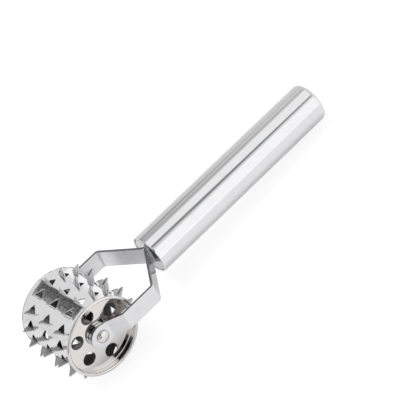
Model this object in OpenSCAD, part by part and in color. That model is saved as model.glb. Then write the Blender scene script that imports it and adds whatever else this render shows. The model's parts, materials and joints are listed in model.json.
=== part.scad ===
// Rolling meat tenderizer: a punched, toothed roller that turns freely in a strip fork
// on a tubular handle. It lies on a table as it is put down after use: the roller stands
// on two rows of its teeth and the tail of the handle touches the table at z = 0.
// +X runs towards the tail of the handle, +Y along the roller's axle, +Z up.
// The origin is on the table, under the middle of the tool.

/* [Roller] */
// Outer diameter of the sleeve's plain sheet
sleeve_d = 46; // [38:1:56]
// Thickness of the sleeve's sheet
sleeve_t = 0.7; // [0.5:0.1:1]
// Length of the roller over its two rolled rims
roller_len = 44.2; // [36:0.2:60]

/* [Teeth] */
// Height of a tooth above the sheet
tooth_h = 5.25; // [3:0.25:7]
// Width of a tooth where it leaves the sheet
tooth_base = 6.1; // [4:0.1:7]
// Length of the triangular hole that a tooth leaves behind
hole_h = 4.6; // [3:0.1:5.4]
// Distance between rows of teeth, measured round the sheet
row_pitch = 9.3; // [9:0.1:12]
// Distance between teeth along a row
tooth_pitch = 13.8; // [9:0.2:16]
// Plain sheet left between the last tooth and each end of the sleeve, at least
end_land = 6; // [5:0.5:8]
// Plain sheet left across the butt seam, at least
seam_land = 13.5; // [12:0.5:16]
// Width of the seam's groove
seam_w = 0.4; // [0.2:0.1:0.8]
// Depth of the seam's groove
seam_depth = 0.2; // [0.1:0.05:0.3]

/* [End caps] */
// Thickness of the pressed end caps
cap_t = 0.55; // [0.4:0.05:0.8]
// Depth of a cap's flat face below its rim
recess = 3.9; // [2.5:0.1:6]
// Radius between the flat face and the wall, on the hollow side
cap_corner_r = 0.5; // [0.2:0.1:1.5]
// How far the rolled rim reaches along the sleeve
rim_reach = 0.8; // [0.4:0.1:2]
// Diameter of the round holes
cap_hole_d = 8.2; // [5:0.1:9]
// Diameter of the circle that the holes' centres lie on
cap_hole_circle = 29.2; // [24:0.2:31]
// Number of round holes in a cap
cap_holes = 6; // [3:1:8]
// Turn of the holes about the axle, from the handle's side upwards
cap_hole_turn = 29; // [0:1:60]
// Length of the collar drawn inwards round the axle
collar_len = 3.2; // [2:0.1:6]
// Wall of the drawn collar
collar_t = 0.6; // [0.4:0.1:1]

/* [Axle] */
// Outer diameter of the spacer tube that the roller turns on
axle_tube_d = 6; // [5:0.5:8]
// Diameter of the rivet's shank
rivet_d = 4; // [3:0.5:5]
// Diameter of the rivet's domed heads
head_d = 7.8; // [6:0.2:9]
// Height of the domed heads
head_h = 2; // [1.2:0.1:3]
// Diameter of the thrust washers
washer_d = 14.5; // [10:0.5:15]
// Thickness of the thrust washers
washer_t = 1.5; // [0.8:0.1:2]

/* [Fork] */
// Thickness of the strip
arm_t = 1.5; // [1:0.1:2]
// Width of the strip
arm_w = 12; // [8:0.5:16]
// Diameter of the eye round the rivet
eye_d = 14.8; // [12:0.2:18]
// Width of the strip where it leaves the eye
neck_w = 13.4; // [9:0.2:16]
// Where the strip starts to step outwards, from the axle
joggle_start = 6; // [4:0.5:8]
// Length of the outward step along the tool
joggle_len = 9; // [6:0.5:12]
// Air between the roller's rim and the straight part of an arm
arm_clear = 2.65; // [1.5:0.05:5]
// Distance from the tooth tips to the corner where the arms turn inwards
corner_reach = 9; // [6:0.5:20]
// Length of the inward slope along the tool
slope_len = 16.7; // [12:0.1:30]
// Inside radius of the bends
bend_r = 1.6; // [1:0.1:3]
// Length of the tangs inside the handle
tang_len = 24; // [16:1:40]
// Diameter of the rivets that join the tangs
tang_rivet_d = 3; // [2:0.5:4]
// Distance between the tang rivets
tang_rivet_pitch = 9; // [7:0.5:12]

/* [Handle] */
// Outer diameter of the handle's tube
handle_d = 25; // [20:0.5:32]
// Wall of the handle's tube
handle_t = 1; // [0.7:0.1:2]
// Length of the handle's tube
handle_len = 130; // [90:1:180]
// Rounding of the tube's ends
lip_r = 0.4; // [0.2:0.1:0.6]
// Depth of the front plug's face below the mouth of the tube
plug_inset = 0.3; // [0:0.1:2]
// Thickness of the front plug and of the tail cap
plug_t = 1; // [0.6:0.1:2]
// Length of the skirts inside the tube
skirt_len = 8; // [4:0.5:14]
// Height of the tail cap's dome
dome_h = 4.5; // [2:0.5:12]

/* [Fits] */
// Radial running clearance of the roller on its axle tube
run_gap = 0.06; // [0.02:0.01:0.1]
// Clearance between fixed pieces that fit into one another
fit_gap = 0.05; // [0.02:0.01:0.1]
// Play between a thrust washer and the roller's cap
end_play = 0.3; // [0.2:0.05:0.5]

/* [Hidden] */
$fn = 96;
eps = 0.01;

// Roller sizes that follow from the ones above
sleeve_r = sleeve_d / 2;
sleeve_in_r = sleeve_r - sleeve_t;
cap_wall_r = sleeve_in_r - fit_gap;
rim_r = sleeve_r + fit_gap + cap_t;
curl_r = (rim_r - (cap_wall_r - cap_t)) / 2;
curl_mid_r = rim_r - curl_r;
half_len = roller_len / 2;
sleeve_len = roller_len - 2 * curl_r;
cap_face = half_len - recess;
tooth_tip_r = sleeve_r + tooth_h;
row_step = row_pitch / sleeve_r * 180 / PI;
row_count = 1 + floor((PI * sleeve_d - seam_land) / row_pitch);
teeth_in_row = 1 + floor((sleeve_len - 2 * end_land) / tooth_pitch);
seam_turn = (360 - (row_count - 1) * row_step) / 2;
first_row = 270 - row_step / 2;

// Fork sizes
arm_in_hub = cap_face + end_play + washer_t;
arm_mid_hub = arm_in_hub + arm_t / 2;
arm_out_hub = arm_in_hub + arm_t;
arm_mid_out = half_len + arm_clear + arm_t / 2;
corner_x = tooth_tip_r + corner_reach;
mouth_x = corner_x + slope_len;
tang_gap = 0.1;
tang_mid = (arm_t + tang_gap) / 2;
slot_w = 2 * arm_t + tang_gap + 2 * fit_gap;

// Handle sizes
handle_r = handle_d / 2;
bore_r = handle_r - handle_t;
skirt_r = bore_r - fit_gap;
plug_x = mouth_x + plug_inset;
tail_x = mouth_x + handle_len;
dome_r = handle_r - lip_r / 2;

// How the tool lies: two rows of teeth and the tail's lower edge touch the table
axle_z = tooth_tip_r * cos(row_step / 2) + sleeve_t / 2 * sin(row_step / 2);
tail_reach = norm([tail_x, handle_r]);
tilt = asin(axle_z / tail_reach) - atan2(handle_r, tail_x);
tip_xs = [for (i = [0 : row_count - 1]) tooth_tip_r * cos(first_row + i * row_step)];
front_end = min(tip_xs);
back_end = tail_x * cos(tilt) + norm([dome_h * cos(tilt), dome_r * sin(tilt)]);
axle_x = -(front_end + back_end) / 2;

// Unit vector along the leg that starts at point i of a path
function leg(p, i) = (p[i + 1] - p[i]) / norm(p[i + 1] - p[i]);

// Vector turned a quarter to the left
function left(v) = [-v.y, v.x];

// Points of a round bend at corner i of a path, on the line that lies h to its left
function bend(p, i, r, h, steps = 8) =
    let (
        a = leg(p, i - 1),
        b = leg(p, i),
        turn = a.x * b.y - a.y * b.x > 0 ? 1 : -1,
        angle = acos(a * b),
        start = p[i] - a * r * tan(angle / 2),
        centre = start + turn * r * left(a),
        from = atan2(-turn * left(a).y, -turn * left(a).x)
    )
    [for (k = [0 : steps])
        let (u = from + turn * angle * k / steps)
        centre + (r - turn * h) * [cos(u), sin(u)]];

// One long side of a strip of thickness 2 * h that follows a path
function strip_side(p, r, h) =
    let (last = len(p) - 1)
    [
        p[0] + h * left(leg(p, 0)),
        for (i = [1 : last - 1]) each bend(p, i, r, h),
        p[last] + h * left(leg(p, last - 1))
    ];

// List in the opposite order
function reversed(v) = [for (i = [len(v) - 1 : -1 : 0]) v[i]];

// Points of an arc about a centre, for profiles
function arc(centre, r, from, to, steps = 10) =
    [for (k = [0 : steps])
        let (u = from + (to - from) * k / steps)
        centre + r * [cos(u), sin(u)]];

// Puts a piece drawn about the axle, with the handle along +X, where the tool lies
module lay() {
    translate([axle_x, 0, axle_z])
        rotate([0, tilt, 0])
            children();
}

// Puts a piece of the roller where the tool lies
module on_axle() {
    translate([axle_x, 0, axle_z])
        children();
}

// Turns a revolved profile so that its axis runs along +Y
module along_y() {
    rotate([-90, 0, 0])
        children();
}

// Turns a revolved profile so that its axis runs along +X
module along_x() {
    rotate([0, 90, 0])
        children();
}

// Turns a feature from +X round the axle, upwards
module at_turn(angle) {
    rotate([0, -angle, 0])
        children();
}

// Places a feature at every tooth: +X points outwards there and Y runs along the axle
module each_tooth() {
    for (i = [0 : row_count - 1])
        for (j = [0 : teeth_in_row - 1])
            at_turn(first_row + i * row_step)
                translate([0, (j - (teeth_in_row - 1) / 2) * tooth_pitch, 0])
                    children();
}

// One tooth: the triangular tab, bent up square to the sheet
module tooth_tab() {
    root_r = sleeve_r - sleeve_t / 2;
    linear_extrude(height = sleeve_t, center = true)
        polygon([
            [root_r, -tooth_base / 2],
            [sleeve_r, -tooth_base / 2],
            [tooth_tip_r, 0],
            [sleeve_r, tooth_base / 2],
            [root_r, tooth_base / 2]
        ]);
}

// The triangular hole that the tab was bent out of
module tooth_hole() {
    fold = sleeve_t / 2;
    translate([sleeve_in_r - sleeve_t * 2, 0, 0])
        rotate([0, 90, 0])
            linear_extrude(height = sleeve_t * 4)
                polygon([
                    [fold, -tooth_base / 2],
                    [fold + hole_h, 0],
                    [fold, tooth_base / 2]
                ]);
}

module toothed_sleeve() {
    color("silver")
        on_axle() {
            difference() {
                along_y()
                    difference() {
                        cylinder(h = sleeve_len, r = sleeve_r, center = true);
                        cylinder(h = sleeve_len + 2, r = sleeve_in_r, center = true);
                    }
                each_tooth()
                    tooth_hole();
                at_turn(first_row - seam_turn)
                    translate([sleeve_r, 0, 0])
                        cube([2 * seam_depth, sleeve_len + 2, seam_w], center = true);
            }
            each_tooth()
                tooth_tab();
        }
}

// Profile of an end cap: across is the radius, up is the distance from the roller's middle
module cap_profile() {
    bore_r = axle_tube_d / 2 + run_gap;
    wall_in_r = cap_wall_r - cap_t;
    inner_face = cap_face - cap_t;
    curl_y = half_len - curl_r;
    outer_corner_r = cap_corner_r + cap_t;
    polygon(concat(
        [
            [bore_r, inner_face - collar_len],
            [bore_r + collar_t, inner_face - collar_len],
            [bore_r + collar_t, inner_face]
        ],
        arc([cap_wall_r - outer_corner_r, inner_face + outer_corner_r], outer_corner_r, -90, 0),
        arc([curl_mid_r, curl_y], curl_r - cap_t, 180, 0),
        [
            [rim_r - cap_t, curl_y - rim_reach],
            [rim_r, curl_y - rim_reach]
        ],
        arc([curl_mid_r, curl_y], curl_r, 0, 180, 16),
        arc([wall_in_r - cap_corner_r, cap_face + cap_corner_r], cap_corner_r, 0, -90),
        [[bore_r, cap_face]]
    ));
}

// One end cap, drawn for the +Y end
module end_cap() {
    difference() {
        along_y()
            rotate_extrude()
                cap_profile();
        for (i = [0 : cap_holes - 1])
            at_turn(cap_hole_turn + i * 360 / cap_holes)
                translate([cap_hole_circle / 2, cap_face - cap_t / 2, 0])
                    along_y()
                        cylinder(h = 4 * cap_t, d = cap_hole_d, center = true, $fn = 48);
    }
}

module front_end_cap() {
    color("gainsboro")
        on_axle()
            mirror([0, 1, 0])
                end_cap();
}

module rear_end_cap() {
    color("gainsboro")
        on_axle()
            end_cap();
}

module axle_tube() {
    color("darkgray")
        lay()
            along_y()
                difference() {
                    cylinder(h = 2 * arm_in_hub, d = axle_tube_d, center = true);
                    cylinder(h = 2 * arm_in_hub + 2, r = rivet_d / 2 + fit_gap, center = true);
                }
}

// Domed rivet head, drawn with its flat side on the plane z = 0
module rivet_head(d, h) {
    sphere_r = (d * d / 4 + h * h) / (2 * h);
    intersection() {
        translate([0, 0, h - sphere_r])
            sphere(r = sphere_r);
        cylinder(h = 2 * h, d = d);
    }
}

module axle_rivet() {
    color("lightgray")
        lay()
            along_y() {
                cylinder(h = 2 * arm_out_hub + 2 * eps, d = rivet_d, center = true);
                for (side = [0, 1])
                    mirror([0, 0, side])
                        translate([0, 0, arm_out_hub])
                            rivet_head(head_d, head_h);
            }
}

// One thrust washer, drawn for the +Y end
module thrust_washer() {
    along_y()
        translate([0, 0, arm_in_hub - washer_t])
            difference() {
                cylinder(h = washer_t, d = washer_d);
                translate([0, 0, -1])
                    cylinder(h = washer_t + 2, r = axle_tube_d / 2 + fit_gap);
            }
}

module front_thrust_washer() {
    color("slategray")
        lay()
            mirror([0, 1, 0])
                thrust_washer();
}

module rear_thrust_washer() {
    color("slategray")
        lay()
            thrust_washer();
}

// Middle line of an arm, seen from above, for the +Y side
function arm_path() = [
    [-eye_d, arm_mid_hub],
    [joggle_start, arm_mid_hub],
    [joggle_start + joggle_len, arm_mid_out],
    [corner_x, arm_mid_out],
    [mouth_x - tang_mid, tang_mid],
    [mouth_x + tang_len, tang_mid]
];

// Outline of an arm without its eye, seen from its side: tapered neck and strip
module arm_outline() {
    taper_end = joggle_start + joggle_len;
    polygon([
        [0, neck_w / 2],
        [taper_end, arm_w / 2],
        [mouth_x + tang_len, arm_w / 2],
        [mouth_x + tang_len, -arm_w / 2],
        [taper_end, -arm_w / 2],
        [0, -neck_w / 2]
    ]);
}

// The bent strip of an arm, up to the middle of its eye
module arm_strip() {
    path = arm_path();
    bend_mid_r = bend_r + arm_t / 2;
    intersection() {
        linear_extrude(height = 2 * eye_d, center = true)
            polygon(concat(
                strip_side(path, bend_mid_r, arm_t / 2),
                reversed(strip_side(path, bend_mid_r, -arm_t / 2))
            ));
        rotate([90, 0, 0])
            linear_extrude(height = 4 * arm_mid_out, center = true)
                arm_outline();
    }
}

// The round eye of an arm, cut off inside the neck, before the strip bends
module arm_eye() {
    translate([0, arm_mid_hub, 0])
        intersection() {
            along_y()
                cylinder(h = arm_t, d = eye_d, center = true);
            translate([joggle_start - 1 - eye_d, 0, 0])
                cube([2 * eye_d, eye_d, 2 * eye_d], center = true);
        }
}

// One fork arm, drawn for the +Y side
module fork_arm() {
    difference() {
        union() {
            arm_strip();
            arm_eye();
        }
        translate([0, arm_mid_hub, 0])
            along_y()
                cylinder(h = 3 * arm_t, r = rivet_d / 2 + fit_gap, center = true);
        each_tang_rivet()
            cylinder(h = 3 * slot_w, r = tang_rivet_d / 2 + fit_gap, center = true);
    }
}

module front_fork_arm() {
    color("lightsteelblue")
        lay()
            mirror([0, 1, 0])
                fork_arm();
}

module rear_fork_arm() {
    color("lightsteelblue")
        lay()
            fork_arm();
}

// Places a feature at both rivets of the tangs, along Y
module each_tang_rivet() {
    first = mouth_x + skirt_len + tang_rivet_d;
    for (i = [0, 1])
        translate([first + i * tang_rivet_pitch, 0, 0])
            along_y()
                children();
}

module tang_rivets() {
    grip = arm_t + tang_gap / 2;
    color("dimgray")
        lay()
            each_tang_rivet() {
                cylinder(h = 2 * grip + 2 * eps, d = tang_rivet_d, center = true);
                for (side = [0, 1])
                    mirror([0, 0, side])
                        translate([0, 0, grip])
                            rivet_head(1.8 * tang_rivet_d, 0.4 * tang_rivet_d);
            }
}

// Pressed plug in the mouth of the tube, with the slot that holds the tangs
module handle_front_plug() {
    color("whitesmoke")
        lay()
            difference() {
                translate([plug_x, 0, 0])
                    along_x()
                        rotate_extrude()
                            polygon(concat(
                                arc([skirt_r - plug_t, plug_t], plug_t, -90, 0),
                                [
                                    [skirt_r, skirt_len],
                                    [skirt_r - plug_t, skirt_len],
                                    [skirt_r - plug_t, plug_t],
                                    [0, plug_t],
                                    [0, 0]
                                ]
                            ));
                translate([plug_x, 0, 0])
                    cube([4 * plug_t, slot_w, arm_w + 2 * fit_gap], center = true);
            }
}

module handle_tube() {
    color("gainsboro")
        lay()
            translate([mouth_x, 0, 0])
                along_x()
                    rotate_extrude()
                        polygon([
                            [bore_r, 0],
                            [handle_r - lip_r, 0],
                            [handle_r, lip_r],
                            [handle_r, handle_len],
                            [bore_r, handle_len]
                        ]);
}

// Domed cap pressed into the tail of the tube
module handle_tail_cap() {
    dome = [for (k = [0 : 12]) let (u = 90 * k / 12) [dome_r * cos(u), dome_h * sin(u)]];
    hollow_h = dome_h - plug_t;
    hollow = [for (k = [12 : -1 : 0])
        let (u = 90 * k / 12)
        [(skirt_r - plug_t) * cos(u), hollow_h * sin(u)]];
    color("gainsboro")
        lay()
            translate([tail_x, 0, 0])
                along_x()
                    rotate_extrude()
                        polygon(concat(
                            [[skirt_r, -skirt_len], [skirt_r, 0]],
                            dome,
                            hollow,
                            [[skirt_r - plug_t, -skirt_len]]
                        ));
}

toothed_sleeve();
front_end_cap();
rear_end_cap();
axle_tube();
axle_rivet();
front_thrust_washer();
rear_thrust_washer();
front_fork_arm();
rear_fork_arm();
tang_rivets();
handle_front_plug();
handle_tube();
handle_tail_cap();
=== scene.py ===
"""Looks of a rolling meat tenderizer: a punched steel roller in a strip fork on a tubular handle.

Every mesh is drawn in millimetres about the axle, with the handle along +X and the axle along
Y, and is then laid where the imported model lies. Turned pieces, punched rows and teeth are made
by Geometry Nodes, the fork's arms by a flat outline that is folded along the fork's path.
"""

import json
import logging
import math
from collections.abc import Callable, Sequence
from dataclasses import dataclass, replace
from enum import Enum
from typing import Any

import bmesh
import bpy
from mathutils import Matrix, Vector
from mathutils.geometry import delaunay_2d_cdt


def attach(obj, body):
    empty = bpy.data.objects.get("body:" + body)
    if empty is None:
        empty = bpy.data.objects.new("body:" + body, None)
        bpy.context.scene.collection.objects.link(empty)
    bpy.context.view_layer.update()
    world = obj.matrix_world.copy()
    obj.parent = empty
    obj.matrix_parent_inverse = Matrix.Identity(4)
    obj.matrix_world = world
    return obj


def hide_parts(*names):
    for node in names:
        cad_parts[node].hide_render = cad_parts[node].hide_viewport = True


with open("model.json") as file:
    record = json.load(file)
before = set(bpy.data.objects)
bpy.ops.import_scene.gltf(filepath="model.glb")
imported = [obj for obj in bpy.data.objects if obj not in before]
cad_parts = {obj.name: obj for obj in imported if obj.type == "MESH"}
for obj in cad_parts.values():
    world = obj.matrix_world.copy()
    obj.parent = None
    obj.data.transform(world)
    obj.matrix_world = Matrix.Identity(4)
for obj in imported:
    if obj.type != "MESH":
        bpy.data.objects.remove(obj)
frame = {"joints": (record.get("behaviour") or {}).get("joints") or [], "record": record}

LOG = logging.getLogger("tenderizer")
MM = 0.001
# Keeps a whole number's share from being rounded down, and a divisor from being nothing.
TINY = 0.001
Point = tuple[float, float]
Triple = tuple[float, float, float]
SOCKET_KINDS = {
    int: "Int",
    float: "Float",
    type(None): "Object",
    bpy.types.Object: "Object",
    bpy.types.Material: "Material",
}


class Body(Enum):
    """The two CAD bodies that pieces ride on."""

    FRAME = "frame"
    ROLLER = "roller"


class Axis(Enum):
    """How a turned piece, drawn about +Z, is laid in the tool, as the rows of a rotation."""

    FRONTWARD = ((1, 0, 0), (0, 0, -1), (0, 1, 0))
    REARWARD = ((1, 0, 0), (0, 0, 1), (0, -1, 0))
    TAILWARD = ((0, 0, 1), (0, 1, 0), (-1, 0, 0))


class Side(Enum):
    """The two sides of the tool along its axle, by the way that they face."""

    FRONT = Axis.FRONTWARD
    REAR = Axis.REARWARD

    def node(self, piece: str) -> str:
        """Returns the name of this side's copy of a CAD node."""
        return f"{self.name.lower()}_{piece}"


class Zone(Enum):
    """The kinds of surface of a punched sheet."""

    OUTSIDE = 0
    CUT = 1
    INSIDE = 2
    WALL = 3


@dataclass(frozen=True)
class Lie:
    """Where the tool lies on the table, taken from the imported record.

    Args:
        axle: Middle of the axle, in metres.
        tilt: How far the handle slopes down towards its tail, in radians.
    """

    axle: Vector
    tilt: float

    @staticmethod
    def from_record() -> "Lie":
        """Reads the axle's place from the joint and the slope from the handle's mount.

        Returns:
            The place and slope of the tool.
        """
        joint = frame["joints"][0]
        along = frame["record"]["mounts"][0]["axis"]
        return Lie(Vector(joint["pos_m"]), math.atan2(-along[2], along[0]))

    def matrix(self, body: Body) -> Matrix:
        """Returns the matrix that lays a body's pieces; the roller's aren't sloped."""
        turn = Matrix.Rotation(self.tilt if body is Body.FRAME else 0.0, 4, "Y")
        return Matrix.Translation(self.axle) @ turn @ Matrix.Scale(MM, 4)


def operator(operation: str, turned: bool = False) -> Callable[["Term", Any], "Term"]:
    """Makes one of Term's operators.

    Args:
        operation: Blender's name of the math operation.
        turned: Whether the other operand comes first.

    Returns:
        The operator's method.
    """

    def run(term: "Term", other: Any) -> "Term":
        """Returns the result of the operation on a term and another operand."""
        inputs = {int(turned): term, int(not turned): other}
        return term.maker.term("ShaderNodeMath", inputs, operation=operation)

    return run


class Term:
    """One output of a node tree, which works in sums, products and powers."""

    __add__ = operator("ADD")
    __radd__ = operator("ADD", turned=True)
    __sub__ = operator("SUBTRACT")
    __rsub__ = operator("SUBTRACT", turned=True)
    __mul__ = operator("MULTIPLY")
    __rmul__ = operator("MULTIPLY", turned=True)
    __truediv__ = operator("DIVIDE")
    __rtruediv__ = operator("DIVIDE", turned=True)
    __mod__ = operator("FLOORED_MODULO")
    __pow__ = operator("POWER")

    def __init__(self, maker: "NodeMaker", socket: bpy.types.NodeSocket) -> None:
        """Keeps the tree's maker and the socket."""
        self.maker = maker
        self.socket = socket

    def math(self, operation: str, *others: Any) -> "Term":
        """Returns the result of any other math operation on this value and others."""
        inputs = dict(enumerate((self, *others)))
        return self.maker.term("ShaderNodeMath", inputs, operation=operation)

    def __abs__(self) -> "Term":
        """Returns the size of self."""
        return self.math("ABSOLUTE")

    def rise(self, low: Any, high: Any, floor: Any = 0.0) -> "Term":
        """Returns a smooth step from floor at low to 1 at high, also where high is less."""
        inputs = {"Value": self, "From Min": low, "From Max": high, "To Min": floor}
        return self.maker.term("ShaderNodeMapRange", inputs, interpolation_type="SMOOTHSTEP")

    def hump(self, middle: float, half: float, soft: float) -> "Term":
        """Returns 1 within half of the middle and a smooth fall to 0 over soft past it."""
        return abs(self - middle).rise(half + soft, half)


class NodeMaker:
    """Makes and links the nodes of one shader or geometry tree."""

    def __init__(self, tree: bpy.types.NodeTree) -> None:
        """Starts on an empty tree."""
        self.tree = tree
        tree.nodes.clear()

    def node(self, kind: str, inputs: dict[str | int, Any] | None = None, **settings: Any) -> Any:
        """Makes one node.

        Args:
            kind: Blender's type name of the node.
            inputs: Values, terms or sockets by the input's name or number.
            settings: The node's own properties.

        Returns:
            The new node.
        """
        made = self.tree.nodes.new(kind)
        for name, value in settings.items():
            setattr(made, name, value)
        for key, value in (inputs or {}).items():
            if isinstance(key, int):
                socket = made.inputs[key]
            else:
                socket = next(s for s in made.inputs if s.name == key and s.enabled)
            if isinstance(value, Term):
                value = value.socket
            if isinstance(value, bpy.types.NodeSocket):
                self.tree.links.new(value, socket)
            else:
                socket.default_value = value
        return made

    def term(self, kind: str, inputs: dict[str | int, Any] | None = None,
             output: str | None = None, **settings: Any) -> Term:
        """Makes one node and returns one of its outputs.

        Args:
            kind: Blender's type name of the node.
            inputs: Values, terms or sockets by the input's name or number.
            output: Name of the output, or None for the first.
            settings: The node's own properties.

        Returns:
            The output as a term.
        """
        made = self.node(kind, inputs, **settings)
        return Term(self, next(s for s in made.outputs if s.enabled and output in (None, s.name)))

    def vector(self, x: Any, y: Any, z: Any) -> Term:
        """Returns three numbers or terms as a vector."""
        return self.term("ShaderNodeCombineXYZ", {0: x, 1: y, 2: z})

    def around(self, radius: Any, angle: Term) -> tuple[Term, Term]:
        """Returns the two coordinates of a point on a circle."""
        return radius * angle.math("COSINE"), radius * angle.math("SINE")

    def axes(self, vector: Term) -> tuple[Term, Term, Term]:
        """Returns the three numbers of a vector."""
        parts = self.node("ShaderNodeSeparateXYZ", {0: vector})
        return tuple(Term(self, s) for s in parts.outputs)

    def mix(self, amount: Term, first: Triple, second: Triple) -> Term:
        """Returns a colour between two, by amount."""
        inputs = {"Factor": amount, "A": (*first, 1.0), "B": (*second, 1.0)}
        return self.term("ShaderNodeMix", inputs, output="Result", data_type="RGBA")

    def noise(self, place: Term, size: float, detail: float = 2.0, rough: float = 0.5) -> Term:
        """Returns noise from 0 to 1.

        Args:
            place: The coordinates, in metres.
            size: Size of the noise's features, in millimetres.
            detail: Number of finer layers.
            rough: Strength of the finer layers.

        Returns:
            The noise as a term.
        """
        inputs = {"Vector": place, "Scale": 1 / (size * MM), "Detail": detail, "Roughness": rough}
        return self.term("ShaderNodeTexNoise", inputs, noise_dimensions="3D")

    def surface(self, kind: str, shader: Any) -> None:
        """Makes the tree's output of a kind, Material or World, with a shader's node on it."""
        self.node(f"ShaderNodeOutput{kind}", {"Surface": shader.outputs[0]})


Drawer = Callable[[NodeMaker, dict[str, Term]], Term]


@dataclass(frozen=True)
class SteelFinish:
    """One finish of stainless steel.

    Args:
        name: Name of the material.
        light: Colour where the surface is clean.
        dull: Colour in the faint smears.
        shine: Roughness of the clean surface.
        smear: Roughness that smears and hairlines add.
        wave: Height of the soft waves in the sheet, in micrometres.
        wave_size: Length of those waves, in millimetres.
        grain: Height of the fine finishing lines, in micrometres.
        lines: Lengths of a finishing line along X, Y and Z, in millimetres.
        pits: Height of small dents and grit marks, in micrometres.
        rim_r: Distance from the axle, in millimetres, past which the steel is satin, or 0.
        satin: Roughness that the satin rim adds.
        axle: The axle's X and Z, in metres.
    """

    name: str
    light: Triple
    dull: Triple
    shine: float
    smear: float
    wave: float
    wave_size: float
    grain: float = 0.3
    lines: Triple = (8.0, 0.12, 0.12)
    pits: float = 1.5
    rim_r: float = 0.0
    satin: float = 0.0
    axle: Point = (0.0, 0.0)

    def material(self) -> bpy.types.Material:
        """Builds the finish as a node material.

        Returns:
            The material, or the one that was made before under this name.
        """
        if self.name in bpy.data.materials:
            return bpy.data.materials[self.name]
        made = bpy.data.materials.new(self.name)
        made.use_nodes = True
        make = NodeMaker(made.node_tree)
        place = make.term("ShaderNodeTexCoord", output="Object")
        stretch = {"Vector": place, "Scale": tuple(1 / length for length in self.lines)}
        lined = make.term("ShaderNodeMapping", stretch, vector_type="POINT")
        smears = make.noise(place, 9.0, 4.0, 0.6).rise(0.42, 0.72)
        waves = make.noise(place, self.wave_size, 1.5)
        grains = make.noise(lined, 1.0, 2.0, 0.7)
        hairs = make.noise(lined, 2.3, 1.0).rise(0.66, 0.78)
        marks = make.noise(place, 1.1, 3.0, 0.65).rise(0.6, 0.8)
        tint = make.mix(smears * 0.7 + marks * 0.3, self.light, self.dull)
        rough = (smears + hairs * 0.6 + marks * 0.5) * self.smear + self.shine
        if self.rim_r:
            x, _, z = make.axes(place)
            away = ((x - self.axle[0]) ** 2 + (z - self.axle[1]) ** 2) ** 0.5
            rim = away.rise((self.rim_r - 0.1) * MM, (self.rim_r + 0.15) * MM)
            rough = rough + rim * self.satin
        height = waves * self.wave + grains * self.grain - marks * self.pits
        bump = {"Strength": 1.0, "Distance": 1e-6, "Height": height}
        normal = make.term("ShaderNodeBump", bump)
        steel = {"Base Color": tint, "Metallic": 1.0, "Roughness": rough, "Normal": normal}
        make.surface("Material", make.node("ShaderNodeBsdfPrincipled", steel))
        return made


class Finishes:
    """The finishes of this tool's pieces: clean and smeared colour, shine and added roughness. Some
    colours are darker than the steel and are painted shade, as noted at each.
    """

    sleeve = SteelFinish("punched_sheet", (0.91, 0.91, 0.92), (0.85, 0.85, 0.86), 0.09, 0.04,
                         wave=60.0, wave_size=1.7)
    # The tooth's outer face is the sheet's own polished steel; its darker colour is painted shade.
    tab = SteelFinish("tooth_outer_face", (0.62, 0.62, 0.63), (0.44, 0.44, 0.46), 0.12, 0.1,
                      wave=40.0, wave_size=1.6)
    # The tooth's inner face is the sheet's steel too; its dark colour is painted shade.
    tooth_inside_shade = SteelFinish("tooth_inner_face", (0.38, 0.38, 0.39), (0.28, 0.28, 0.29), 0.24, 0.15,
                      wave=8.0, wave_size=1.2)
    shear = SteelFinish("sheared_edge", (0.74, 0.74, 0.75), (0.5, 0.5, 0.51), 0.26, 0.2,
                        wave=2.0, wave_size=0.8, pits=4)
    torn = SteelFinish("torn_wall", (0.46, 0.46, 0.47), (0.28, 0.28, 0.29), 0.35, 0.2,
                       wave=4.0, wave_size=0.6, pits=5)
    # The sheet's inside is the same steel as its outside; its near-black colour is painted shade
    # inside the closed drum.
    inside = SteelFinish("inside_of_sheet", (0.2, 0.198, 0.2), (0.13, 0.128, 0.13), 0.3, 0.25,
                         wave=5.0, wave_size=3.0)
    cap = SteelFinish("pressed_cap", (0.755, 0.738, 0.73), (0.715, 0.698, 0.69), 0.05, 0.05,
                      wave=4.0, wave_size=7.0, rim_r=23.3, satin=0.12)
    wire = SteelFinish("rivet_wire", (0.73, 0.72, 0.71), (0.63, 0.62, 0.61), 0.08, 0.08,
                       wave=3.0, wave_size=1.6)
    washer = SteelFinish("turned_washer", (0.76, 0.75, 0.75), (0.7, 0.69, 0.69), 0.05, 0.04,
                         wave=1.0, wave_size=3.0)
    strip = SteelFinish("satin_strip", (0.77, 0.77, 0.78), (0.72, 0.72, 0.74), 0.16, 0.08,
                        wave=3.0, wave_size=9.0)
    # The front arm's joggle gets a darker, cooler colour than the strip: painted shade on the faces
    # between its folds.
    fold = SteelFinish("strip_between_folds", (0.67, 0.665, 0.685), (0.63, 0.625, 0.645),
                       0.16, 0.08, wave=3.0, wave_size=9.0)
    # The strip's cut edges get a dark colour, which is painted shade along the thin edges; their
    # added roughness is the cut's own.
    cut = SteelFinish("strip_cut_edge", (0.3, 0.3, 0.31), (0.22, 0.22, 0.23), 0.28, 0.15,
                      wave=3.0, wave_size=1.5)
    # The front arm's inner face gets a dark colour: painted shade, as the same face of the rear arm
    # keeps the strip's.
    back = SteelFinish("strip_inner_face", (0.4, 0.39, 0.385), (0.34, 0.33, 0.325), 0.2, 0.12,
                       wave=3.0, wave_size=5.0)
    tube = SteelFinish("polished_tube", (0.78, 0.78, 0.79), (0.74, 0.74, 0.75), 0.05, 0.05,
                       wave=2.0, wave_size=14.0, grain=0.15, pits=0.6)
    # The plug's colour is darker than the tube's: painted shade deep in the tube's mouth.
    plug = SteelFinish("pressed_plug", (0.54, 0.54, 0.55), (0.45, 0.45, 0.46), 0.12, 0.1,
                       wave=4.0, wave_size=5.0)


def add(name: str, data: bpy.types.ID) -> bpy.types.Object:
    """Puts a new object in the scene.

    Args:
        name: Name of the object.
        data: The mesh, camera or light that it shows.

    Returns:
        The object.
    """
    made = bpy.data.objects.new(name, data)
    bpy.context.scene.collection.objects.link(made)
    return made


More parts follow.
